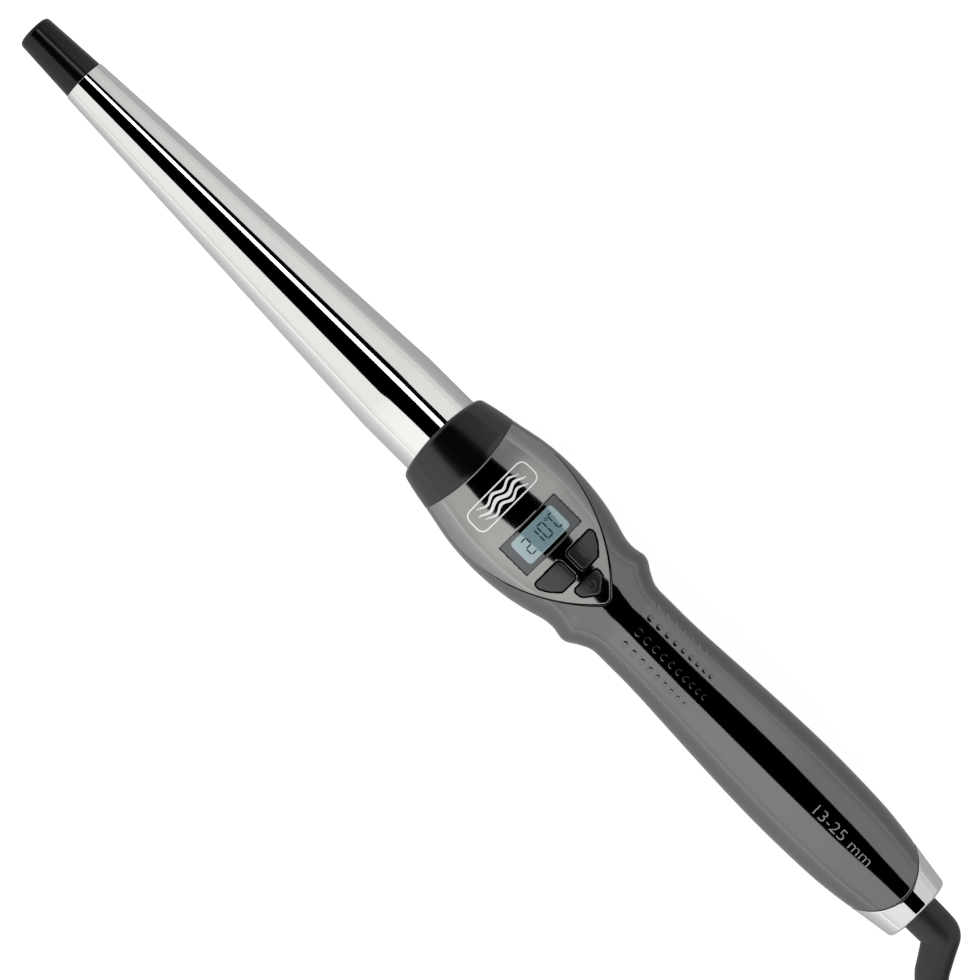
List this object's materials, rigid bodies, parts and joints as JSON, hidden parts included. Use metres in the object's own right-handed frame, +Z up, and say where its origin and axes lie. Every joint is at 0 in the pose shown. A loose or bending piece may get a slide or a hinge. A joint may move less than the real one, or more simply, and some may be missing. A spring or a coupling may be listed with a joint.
{
  "type": "curling wand",
  "caption": "Clamp-less hair curling wand: polished conical heated barrel, cool tip, display and press buttons on a shield-shaped panel, ridged grip, swivel cord with mains plug.",
  "frame": {"origin": "on the surface the wand lies on, under the middle of its length from tip to ferrule", "axes": "+X along the wand towards the cord, +Z up through the control panel"},
  "size_m": [0.5037, 0.054, 0.0371],
  "materials": {
    "tip_plastic": "satin heat-resistant moulding",
    "barrel_metal": "polished and plated",
    "spreader_metal": "extruded, raw",
    "ceramic": "unglazed ceramic",
    "heat_film": "amber insulating film",
    "copper_metal": "tinned strip",
    "seat_plastic": "mineral-filled moulding",
    "steel": "zinc plated",
    "collar_plastic": "satin heat-resistant moulding",
    "handle_plastic": "smoke-grey metallised gloss",
    "panel_plastic": "metallised gloss",
    "lens_plastic": "smoked clear acrylic",
    "lcd_glass": "liquid crystal display",
    "holder_plastic": "diffusing white moulding",
    "strip_rubber": "layered contact rubber",
    "circuit_board": "solder-masked laminate",
    "component_black": "moulded package",
    "capacitor_case": "potted case",
    "resistor_body": "lacquered ceramic",
    "button_rubber": "soft satin",
    "lead_sleeve": "silicone sleeve",
    "ferrule_metal": "mirror plated",
    "core_plastic": "moulded",
    "ring_brass": "turned",
    "boot_rubber": "satin",
    "cord_sheath": "satin sheath",
    "tie_fabric": "hook and loop strap",
    "plug_rubber": "overmoulded",
    "pin_metal": "nickel plated"
  },
  "bodies": {
    "wand": {"barrel": "barrel_metal", "tip_cap": "tip_plastic", "barrel_seat": "seat_plastic", "barrel_pins": "steel", "spreader_top": "spreader_metal", "spreader_bottom": "spreader_metal", "heater": "ceramic", "heater_sleeve": "heat_film", "heater_terminals": "copper_metal", "heat_sensor": "ceramic", "thermal_fuse": "steel", "heater_leads": "lead_sleeve", "collar": "collar_plastic", "handle_top": "handle_plastic", "handle_bottom": "handle_plastic", "panel": "panel_plastic", "display_lens": "lens_plastic", "lcd_glass": "lcd_glass", "lcd_holder": "holder_plastic", "connector_strips": "strip_rubber", "control_board": "circuit_board", "board_screws": "steel", "chips": "component_black", "switches": "component_black", "grip_board": "circuit_board", "triac": "component_black", "film_capacitor": "capacitor_case", "resistor": "resistor_body", "shell_screws": "steel", "ferrule": "ferrule_metal", "brush_holder": "core_plastic", "brushes": "copper_metal"},
    "button_up": {"button_up": "button_rubber"},
    "button_down": {"button_down": "button_rubber"},
    "button_power": {"button_power": "button_rubber"},
    "cord_end": {"swivel_core": "core_plastic", "slip_rings": "ring_brass", "boot": "boot_rubber", "cord_lead": "cord_sheath", "cord_hank": "cord_sheath", "cord_tail": "cord_sheath", "hank_tie": "tie_fabric", "plug_body": "plug_rubber", "plug_pins": "pin_metal"}
  },
  "joints": [
    {"name": "up_press", "type": "slide", "parent": "wand", "child": "button_up", "axis": [0, 0, -1], "range_m": [0, 0.0005], "stiffness_N_per_m": 1500},
    {"name": "down_press", "type": "slide", "parent": "wand", "child": "button_down", "axis": [0, 0, -1], "range_m": [0, 0.0005], "stiffness_N_per_m": 1500},
    {"name": "power_press", "type": "slide", "parent": "wand", "child": "button_power", "axis": [0, 0, -1], "range_m": [0, 0.0005], "stiffness_N_per_m": 1500},
    {"name": "cord_swivel", "type": "hinge", "parent": "wand", "child": "cord_end", "pos_m": [0.1585, 0, 0.0185], "axis": [1, 0, 0], "continuous": true}
  ]
}
